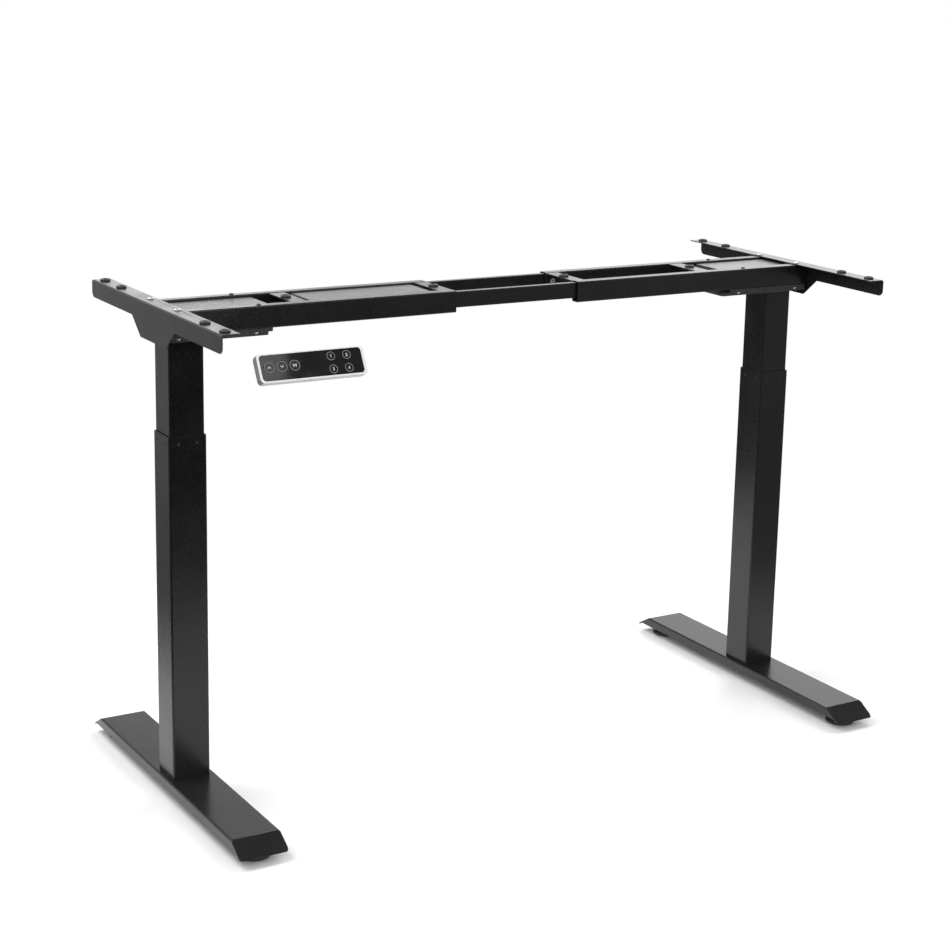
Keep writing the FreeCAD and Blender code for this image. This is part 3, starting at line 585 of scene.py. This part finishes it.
def socket_screw(bm, M, outline, af, mouth_z, floor_z, bottom, n=48, recess=hex_fn):
    """A screw head with a sunk drive: the outline runs from the underside's middle out and over the top to near the socket."""
    rings = [[(0, 0, bottom)]]
    rings += [circ(r, z, n) for r, z in outline]
    f = recess(af)
    rings.append(radial(lambda t: f(t) * 1.05, mouth_z, n))
    rings.append(radial(f, mouth_z - 0.18, n))
    rings.append(radial(f, floor_z, n))
    rings.append(radial(lambda t: f(t) * 0.45, floor_z - 0.35, n))
    rings.append([(0, 0, floor_z - 0.45)])
    skin(bm, rings, M)


for side, s in SIDES.items():
    top = BODY[side + "_frame_screws"]
    node = side + "_frame_screws"
    # pan-head bracket screws, heads on the flange and shanks in the rails
    bm = bmesh.new()
    for sy in (-1, 1):
        prof = rounded([(3.0, -11.0), (3.0, 0.0), (6.0, 0.0), (6.0, 1.1), (4.9, 2.4), (3.2, 3.0), (2.5, 3.0)], [0, 0, 0.25, 0.4, 0.8, 0.8, 0], 4)
        socket_screw(bm, at(s * SCREW_X[s], sy * 60.0, BR_TOP), prof, 4.0, 2.98, 1.3, -11.0)
    finish_mesh(side + "_bracket_screws", bm, top, "zinc_screws", [node], 32)
    # plate bolts whose flat heads lie in the rails, and their captive nuts with domed undersides
    bm = bmesh.new()
    nuts = bmesh.new()
    n = 48
    for nx in NUT_XS[s]:
        for sy in (-1, 1):
            M = Matrix.Translation(Vector((s * nx, sy * 62.5, IN_TOP)) * MM)
            threaded(bm, M, 2.98, 2.5, 1.0, 2.75, 14.2, n=18, rows=4)
            head = [(-4.9, -6.0 * sy), (4.9, -6.0 * sy), (4.9, 2.6 * sy), (-4.9, 2.6 * sy)]
            if sy < 0:
                head.reverse()
            loops = []
            for z, sh in ((14.02, 0.94), (14.3, 1.0), (16.4, 1.0), (16.9, 0.88)):
                loops.append([(x * sh, -1.7 * sy + (y + 1.7 * sy) * sh, z) for x, y in head])
            skin(bm, [[(0, -1.7 * sy, 14.02)]] + loops + [[(0, -1.7 * sy, 16.95)]], M)
            r0 = 3.02
            dome = [circ(3.5, 2.62, n), circ(4.15, 2.85, n), circ(4.65, 3.4, n), circ(4.92, 4.2, n), circ(5.0, 5.2, n), circ(5.0, 5.8, n), circ(4.85, 5.98, n), circ(r0 + 0.3, 5.98, n), circ(r0, 5.7, n), circ(r0, 2.9, n), circ(r0 + 0.2, 2.66, n)]
            skin(nuts, dome, M, wrap=True)
    finish_mesh(side + "_plate_bolts", bm, top, "zinc_screws", [node], 32)
    finish_mesh(side + "_captive_nuts", nuts, top, "nut_zinc", [node], 50)
    # small black cross-recess screws in the rails' tops
    bm = bmesh.new()
    for sy in (-1, 1):
        prof = rounded([(1.5, -5.0), (1.5, 0.0), (4.0, 0.0), (3.8, 1.2), (2.7, 2.2), (2.1, 2.2)], [0, 0, 0.2, 0.8, 0.5, 0], 4)
        socket_screw(bm, at(s * RAIL_SCREW_X[s], sy * 58.0, RAIL_TOP), prof, 1.7, 2.18, 0.9, -5.0, 64, lambda a: cross_fn(a, 0.66))
    finish_mesh(side + "_cover_screws", bm, top, "dark_screws", [node], 32)
    # lock screws that press on the centre rails
    bm = bmesh.new()
    for sy in (-1, 1):
        M = at(s * 147.0, sy * 50.85, CRAIL_TOP - 14.0, (0, -sy, 0))
        prof = rounded([(2.6, 0.0), (3.0, 0.5), (3.0, 2.85), (5.0, 2.85), (5.0, 6.45), (3.0, 6.45)], [0, 0, 0, 0.2, 0.8, 0], 4)
        socket_screw(bm, M, prof, 3.0, 6.42, 4.2, 0.0)
    finish_mesh(side + "_lock_screws", bm, top, "zinc_screws", [node], 32)

    # set screws near the top of the outer column, a touch below the paint
    bm = bmesh.new()
    h = OUT_A / 2
    for o in (-17.0, 17.0):
        for x, y, d in ((s * COL_X + h, o, (1, 0, 0)), (s * COL_X - h, o, (-1, 0, 0)), (s * COL_X + o, h, (0, 1, 0)), (s * COL_X + o, -h, (0, -1, 0))):
            prof = rounded([(2.2, -1.48), (2.55, -1.2), (2.55, -0.12), (1.5, -0.12)], [0, 0, 0.3, 0], 3)
            socket_screw(bm, at(x, y, OUT_TOP - 13.0, d), prof, 2.0, -0.14, -0.95, -1.48, 36)
    finish_mesh(side + "_set_screws", bm, BODY[side + "_pad_screws"], "dark_screws", [side + "_pad_screws"], 32)

    # button-head foot bolts, seen from under the foot
    bm = bmesh.new()
    for sx in (-1, 1):
        for sy in (-1, 1):
            M = at(s * COL_X + sx * 20.0, sy * 20.0, 36.0, (0, 0, -1))
            prof = rounded([(4.0, -13.0), (4.0, 0.0), (7.0, 0.0), (6.9, 2.2), (4.6, 5.0), (3.1, 5.0)], [0, 0, 0.3, 1.2, 1.0, 0], 5)
            socket_screw(bm, M, prof, 5.0, 4.97, 2.4, -13.0)
    finish_mesh(side + "_foot_bolts_finish", bm, BODY[side + "_foot_bolts"], "dark_screws", [side + "_foot_bolts"], 32)

    # rubber bumpers: a soft disc with a sunk middle, its neck through the sheet and a lip below it
    bm = bmesh.new()
    spots = [(s * 674.0, y, BR_TOP, -3.5, -2.05) for y in (-270.0, -189.0, 189.0, 270.0)] + [(s * x, 0.0, CROSS_TOP, -4.5, -3.05) for x in (143.0, 441.0)]
    for x, y, z, low, neck in spots:
        prof = [(2.6, low), (5.3, low), (6.0, neck), (3.95, neck), (3.95, 0.0), (9.2, 0.0), (9.3, 0.5), (9.2, 2.4), (7.9, 3.8), (5.9, 3.8), (4.8, 2.4), (2.6, 2.4)]
        rad = [0.3, 0.5, 0.35, 0.2, 0.2, 0.2, 0.2, 0.8, 0.9, 0.6, 0.4, 0.4]
        turned(bm, rounded(prof, rad, 4, closed=True), 48, at(x, y, z), wrap=True)
    finish_mesh(side + "_bumpers_finish", bm, BODY[side + "_bumpers"], "bumper_rubber", [side + "_bumpers"], 50, weighted=False)

    # levelling glides: fluted pad and threaded stud
    for end, sy in (("front", -1), ("rear", 1)):
        node = side + "_glide_" + end
        M = at(s * COL_X, sy * 302.0, 0.0)
        bm = bmesh.new()
        n = 120
        r = 29.0

        def flute(rad, depth):
            return lambda t: rad - depth * max(0.0, math.cos(t * 24)) ** 2

        rings = [[(0, 0, 0)], circ(r - 3.2, 0.0, n), radial(flute(r - 1.6, 0.2), 0.0, n), radial(flute(r - 0.5, 0.5), 0.45, n), radial(flute(r, 0.8), 1.4, n), radial(flute(r, 0.8), 4.4, n),
                 radial(flute(r - 0.35, 0.8), 5.3, n), radial(flute(r - 1.3, 0.6), 6.1, n), circ(r - 3.0, 6.6, n), circ(20.0, 7.7, n), circ(14.6, 8.6, n), circ(13.2, 9.4, n), circ(12.2, 9.9, n), circ(11.6, 10.0, n), circ(4.6, 10.0, n), [(0, 0, 10.0)]]
        skin(bm, rings, M)
        finish_mesh(side + "_glide_pad_" + end, bm, BODY[node], "glide_rubber", [node], 45, weighted=False)
        bm = bmesh.new()
        threaded(bm, M, 3.98, 3.35, 1.25, 9.2, 27.6)
        hx = hex_fn(12.0)
        n = 48
        skin(bm, [[(0, 0, 9.6)], radial(lambda t: hx(t) * 0.97, 9.8, n), radial(hx, 10.2, n), radial(hx, 12.9, n), radial(lambda t: min(hx(t), 6.3), 13.4, n), circ(4.1, 13.4, n), [(0, 0, 13.4)]], M)
        finish_mesh(side + "_glide_stud_" + end, bm, BODY[node], "zinc_screws", [node], 32)

    # spindle: a real rolled thread, collar and worm wheel
    bm = bmesh.new()
    M = at(s * COL_X, 0, 0)
    threaded(bm, M, 7.0, 5.6, 4.0, 225.0, 842.0, n=16, rows=4)
    turned(bm, rounded([(0, 841.0), (6.6, 841.0), (6.9, 842.0), (13.0, 842.0), (13.0, 848.0), (7.0, 848.0), (7.0, 862.0), (0, 862.0)], [0, 0, 0.3, 0.4, 0.4, 0.2, 0.2, 0], 3), 40, M)
    n = 112
    tooth = lambda rad: (lambda t: rad - 1.5 * (0.5 + 0.5 * math.cos(28 * t)))
    skin(bm, [[(0, 0, 862.0)], circ(13.4, 862.0, n), radial(tooth(15.5), 862.3, n), radial(tooth(15.9), 863.2, n), radial(tooth(15.2), 869.0, n), radial(tooth(15.9), 874.8, n), radial(tooth(15.5), 875.7, n), circ(13.4, 876.0, n), circ(6.0, 876.0, n), circ(6.0, 879.6, n), circ(5.6, 880.0, n), [(0, 0, 880.0)]], M)
    finish_mesh(side + "_spindle_finish", bm, BODY[side + "_spindle"], "steel", [side + "_spindle"], 35, weighted=False)

    # welds: column to its plate, cross plates to rails, nut plates in the foot
    bm = bmesh.new()
    h = 64.5 / 2
    c = 3.0
    corner = []
    for cx, cy, a0 in ((h - c, h - c, 0), (-h + c, h - c, 90), (-h + c, -h + c, 180), (h - c, -h + c, 270)):
        for k in range(5):
            t = math.radians(a0 + 22.5 * k)
            corner.append((s * COL_X + cx + (c + 0.4) * math.cos(t), cy + (c + 0.4) * math.sin(t), IN_TOP - 0.4))
    bead(bm, corner, 1.7, True, 11)
    for (a, b) in ((131.0, 158.0), (423.0, 453.0)):
        for sy in (-1, 1):
            for x in (a, b):
                e = 0.35 if x == a else -0.35
                bead(bm, [(s * (x + e), sy * 47.6, CROSS_TOP - 3.2), (s * (x + e), sy * 47.6, CROSS_TOP - 15.2)], 1.15, False, 21 + int(x), n=7)
    finish_mesh(side + "_top_welds", bm, BODY[side + "_column_plate"], "weld", [], 60, weighted=False)
    bm = bmesh.new()
    for sy in (-1, 1):
        for sx in (-1, 1):
            x = s * COL_X + sx * 41.6
            for dy in (-14.4, 14.4):
                bead(bm, [(x - sx * 0.2, sy * 302.0 + dy, 22.6), (x - sx * 0.2, sy * 302.0 + dy, 27.6)], 1.2, False, 31, n=7)
            bead(bm, [(x + sx * 0.1, sy * 302.0 - 12.5, 22.1), (x + sx * 0.1, sy * 302.0 + 12.5, 22.1)], 1.3, False, 41)
    finish_mesh(side + "_foot_welds", bm, BODY[side + "_foot"], "weld", [], 60, weighted=False)

# =========================================================================
# handset prints
# =========================================================================
TL = Vector((-647.0, -324.7, 867.9))
TILT = math.radians(29.0)
DN = Vector((0, -math.sin(TILT), -math.cos(TILT)))
NR = Vector((0, -math.cos(TILT), math.sin(TILT)))
HM = Matrix.Translation(TL * MM) @ Matrix(((1, 0, 0), (0, DN.y * -1, NR.y), (0, DN.z * -1, NR.z))).to_4x4()
# local axes: x along the face, y up the face, z out of it


def ring_slab(bm, cx, cy, r1, r0, z0, z1, n=72):
    def c(r, z):
        return [(cx + r * math.cos(2 * math.pi * k / n), cy + r * math.sin(2 * math.pi * k / n), z) for k in range(n)]
    skin(bm, [c(r0, z0), c(r1, z0), c(r1, z1), c(r0, z1)], HM, wrap=True)


def poly_slab(bm, pts, z0, z1):
    """A thin printed shape, closed."""
    lo = [bm.verts.new(HM @ (Vector((x, y, z0)) * MM)) for x, y in pts]
    hi = [bm.verts.new(HM @ (Vector((x, y, z1)) * MM)) for x, y in pts]
    n = len(pts)
    bm.faces.new(hi)
    bm.faces.new(list(reversed(lo)))
    for k in range(n):
        bm.faces.new((lo[k], lo[(k + 1) % n], hi[(k + 1) % n], hi[k]))


def stroke(bm, pts, w, z0, z1):
    """A stroke of even width along a polyline with mitred corners and rounded ends."""
    P = [Vector(p) for p in pts]
    left, right = [], []
    m = len(P)
    for i, p in enumerate(P):
        d0 = (P[i] - P[i - 1]).normalized() if i > 0 else (P[1] - P[0]).normalized()
        d1 = (P[i + 1] - P[i]).normalized() if i < m - 1 else d0
        t = (d0 + d1).normalized()
        nn = Vector((-t.y, t.x))
        k = w / 2 / max(0.35, nn.dot(Vector((-d0.y, d0.x))))
        left.append(p + nn * k)
        right.append(p - nn * k)
    d = (P[-1] - P[-2]).normalized()
    e = (P[0] - P[1]).normalized()
    cap1 = [P[-1] + Matrix.Rotation(a, 2) @ d * (w / 2) for a in (0.9, 0.45, 0, -0.45, -0.9)]
    cap0 = [P[0] + Matrix.Rotation(a, 2) @ e * (w / 2) for a in (0.9, 0.45, 0, -0.45, -0.9)]
    loop = left + cap1 + list(reversed(right)) + cap0
    poly_slab(bm, [(q.x, q.y) for q in loop], z0, z1)


def arc(cx, cy, r, a0, a1, n=10):
    return [(cx + r * math.cos(math.radians(a0 + (a1 - a0) * k / n)), cy + r * math.sin(math.radians(a0 + (a1 - a0) * k / n))) for k in range(n + 1)]


GLYPHS = {
    "up": [[(-2.5, -1.2), (0, 1.3), (2.5, -1.2)]],
    "down": [[(-2.5, 1.2), (0, -1.3), (2.5, 1.2)]],
    "memory": [[(-2.4, -2.1), (-2.4, 2.1), (0, -0.7), (2.4, 2.1), (2.4, -2.1)]],
    "one": [[(-0.9, 1.3), (0.3, 2.2), (0.3, -2.2)]],
    "two": [arc(0, 0.9, 1.25, 165, -35, 10) + [(-1.35, -2.15), (1.45, -2.15)]],
    "three": [arc(0, 1.05, 1.1, 150, -80, 9), arc(0, -1.05, 1.2, 80, -150, 10)],
    "four": [[(0.7, -2.2), (0.7, 2.2), (-1.5, -0.9), (1.6, -0.9)]],
}
KEYS = {"up": (19.4, 24.3, 19.0), "down": (41.8, 24.3, 19.0), "memory": (64.2, 24.3, 19.0), "one": (130.3, 14.2, 15.6), "two": (158.5, 14.2, 15.6), "three": (130.3, 36.4, 15.6), "four": (158.5, 36.4, 15.6)}
for key, (u, v, d) in KEYS.items():
    bm = bmesh.new()
    z0, z1 = 0.33, 0.40
    ring_slab(bm, u, -v, d / 2 - 0.55, d / 2 - 1.3, z0, z1)
    finish_mesh("handset_ring_" + key, bm, "handset_key_" + key, "key_ring", [], 30, weighted=False)
    bm = bmesh.new()
    w = 1.05 if d > 16 else 0.9
    for g in GLYPHS[key]:
        stroke(bm, [(u + x, -v + y) for x, y in g], w, z0, z1)
    finish_mesh("handset_print_" + key, bm, "handset_key_" + key, "key_print", [], 30, weighted=False)

# =========================================================================
# stage: pale floor, soft studio light, camera
# =========================================================================
m = Nodes("studio_floor")
m.set("Base Color", m.mix(m.noise(2.2, 2.0, 0.5), (0.88, 0.88, 0.885), (0.90, 0.90, 0.90)))
m.set("Roughness", m.remap(m.noise(30.0, 3.0), 0.3, 0.7, 0.66, 0.74))
# the floor's far parts fade out into the white studio
sepf = m.n("ShaderNodeSeparateXYZ")
m.link(m.obj, sepf.inputs[0])
ex = m.math("DIVIDE", m.math("SUBTRACT", sepf.outputs["X"], 0.05), 1.15)
ey = m.math("DIVIDE", m.math("SUBTRACT", sepf.outputs["Y"], 0.05), 1.15)
rad = m.math("SQRT", m.math("ADD", m.math("MULTIPLY", ex, ex), m.math("MULTIPLY", ey, ey)))
m.set("Alpha", m.remap(rad, 0.72, 1.32, 1.0, 0.0, True))
MATS["floor"] = m.mat
bm = bmesh.new()
bm.faces.new([bm.verts.new((0.05 + 1.9 * math.cos(2 * math.pi * k / 96), 0.05 + 1.9 * math.sin(2 * math.pi * k / 96), 0.0)) for k in range(96)])
me = bpy.data.meshes.new("floor")
bm.to_mesh(me)
bm.free()
floor = bpy.data.objects.new("floor", me)
bpy.context.scene.collection.objects.link(floor)
me.materials.append(MATS["floor"])

# radiance by compass direction, below and just above the horizon
LOW = [(-180, 0.03), (-158, 0.04), (-135, 0.15), (-110, 0.30), (-80, 0.38), (-58, 0.22), (-44, 0.03), (-38, 0.06), (-30, 0.28), (-22, 0.56), (-8, 0.52), (20, 0.45), (90, 0.50), (120, 0.42), (136, 0.40), (144, 0.36), (149, 0.16), (154, 0.02), (160, 0.00), (180, 0.03)]
MID = [(-180, 0.85), (-135, 0.80), (-90, 0.75), (-45, 0.60), (-10, 0.58), (16, 0.48), (24, 0.70), (34, 1.10), (44, 1.25), (90, 0.95), (135, 0.85), (180, 0.85)]
# a brighter band along the horizon, behind the frame
BAND = [(-180, 1.0), (-60, 1.0), (0, 1.8), (14, 3.4), (23, 3.7), (26.0, 1.55), (33, 1.32), (38, 1.62), (46, 1.35), (70, 1.05), (120, 1.0), (180, 1.0)]

sc = bpy.context.scene
world = bpy.data.worlds.new("studio")
sc.world = world
world.use_nodes = True
nt = world.node_tree
nt.nodes.clear()


def wn(kind, **kw):
    node = nt.nodes.new(kind)
    for k, v in kw.items():
        setattr(node, k, v)
    return node


def wmath(op, a, b=0.0, c=0.0):
    node = wn("ShaderNodeMath", operation=op)
    for sock, v in zip(node.inputs, (a, b, c)):
        if isinstance(v, bpy.types.NodeSocket):
            nt.links.new(v, sock)
        else:
            sock.default_value = v
    return node.outputs[0]


def wstep(val, a, b, lo, hi):
    node = wn("ShaderNodeMapRange", interpolation_type="SMOOTHSTEP")
    nt.links.new(val, node.inputs["Value"])
    for k, x in zip(("From Min", "From Max", "To Min", "To Max"), (a, b, lo, hi)):
        if isinstance(x, bpy.types.NodeSocket):
            nt.links.new(x, node.inputs[k])
        else:
            node.inputs[k].default_value = x
    return node.outputs["Result"]


def around(turn, stops):
    """Brightness by compass direction. stops are (degrees from +Y towards +X, radiance)."""
    node = wn("ShaderNodeValToRGB")
    nt.links.new(turn, node.inputs["Fac"])
    el = node.color_ramp.elements
    stops = sorted(stops)
    while len(el) > 1:
        el.remove(el[-1])
    for i, (deg, v) in enumerate(stops):
        e = el[0] if i == 0 else el.new((deg + 180.0) / 360.0)
        e.position = (deg + 180.0) / 360.0
        v = v / 4.0
        e.color = (v, v, v, 1.0)
    return wmath("MULTIPLY", node.outputs["Color"], 4.0)


wtc = wn("ShaderNodeTexCoord")
sep = wn("ShaderNodeSeparateXYZ")
nt.links.new(wtc.outputs["Generated"], sep.inputs[0])
X, Y, Z = sep.outputs["X"], sep.outputs["Y"], sep.outputs["Z"]
turn = wmath("ADD", wmath("DIVIDE", wmath("ARCTAN2", X, Y), 2 * math.pi), 0.5)
low = around(turn, LOW)
mid = around(turn, MID)
mid = wmath("MULTIPLY", mid, wstep(Z, 0.21, 0.29, around(turn, BAND), 1.0))
sky = wstep(Z, 0.42, 0.66, mid, 0.20)
low = wmath("MULTIPLY", low, wstep(Z, -0.31, -0.20, 0.46, 1.0))
level = wstep(Z, -0.05, 0.05, low, sky)
lp = wn("ShaderNodeLightPath")
bg_env = wn("ShaderNodeBackground")
bg_env.inputs["Color"].default_value = (1, 1, 1, 1)
nt.links.new(level, bg_env.inputs["Strength"])
bg_cam = wn("ShaderNodeBackground")
bg_cam.inputs["Color"].default_value = (1, 1, 1, 1)
bg_cam.inputs["Strength"].default_value = 1.0
mixs = wn("ShaderNodeMixShader")
nt.links.new(lp.outputs["Is Camera Ray"], mixs.inputs[0])
nt.links.new(bg_env.outputs[0], mixs.inputs[1])
nt.links.new(bg_cam.outputs[0], mixs.inputs[2])
wo = wn("ShaderNodeOutputWorld")
nt.links.new(mixs.outputs[0], wo.inputs["Surface"])


def area(name, loc, target, size, power, size_y=None):
    ld = bpy.data.lights.new(name, "AREA")
    ld.shape = "RECTANGLE"
    ld.size = size
    ld.size_y = size_y or size
    ld.energy = power
    o = bpy.data.objects.new(name, ld)
    o.location = loc
    o.rotation_mode = "QUATERNION"
    o.rotation_quaternion = (Vector(target) - Vector(loc)).to_track_quat("-Z", "Y")
    sc.collection.objects.link(o)
    return o


area("key", (-2.2, 1.7, 3.6), (0, 0.1, 0.2), 3.0, 150)
area("back_fill", (2.4, 1.8, 3.4), (0.2, 0, 0.2), 2.6, 90)
area("front_fill", (-0.6, -3.0, 2.9), (-0.1, 0, 0.5), 3.2, 68)

sc.view_settings.view_transform = "Standard"
sc.view_settings.look = "None"
sc.view_settings.exposure = 0.0
sc.view_settings.gamma = 1.0

# camera, from a fit of the frame's own corners
yaw, pitch, roll = 0.56178, 0.22677, 0.02686
f_px, cx, cy = 2027.574, 532.040, 410.907
fw = Vector((math.sin(yaw) * math.cos(pitch), math.cos(yaw) * math.cos(pitch), -math.sin(pitch)))
rt = Vector((math.cos(yaw), -math.sin(yaw), 0.0))
up = rt.cross(fw)
r2 = math.cos(roll) * rt + math.sin(roll) * up
u2 = -math.sin(roll) * rt + math.cos(roll) * up
cam_data = bpy.data.cameras.new("camera")
cam_data.sensor_fit = "HORIZONTAL"
cam_data.sensor_width = 36.0
cam_data.lens = f_px / 950.0 * 36.0
cam_data.shift_x = (475.0 - cx) / 950.0
cam_data.shift_y = (cy - 475.0) / 950.0
cam_data.clip_start = 0.05
cam_data.clip_end = 60.0
cam = bpy.data.objects.new("camera", cam_data)
cam.matrix_world = Matrix(((r2.x, u2.x, -fw.x, -1.95116), (r2.y, u2.y, -fw.y, -3.22610), (r2.z, u2.z, -fw.z, 1.51474), (0, 0, 0, 1)))
sc.collection.objects.link(cam)
sc.camera = cam
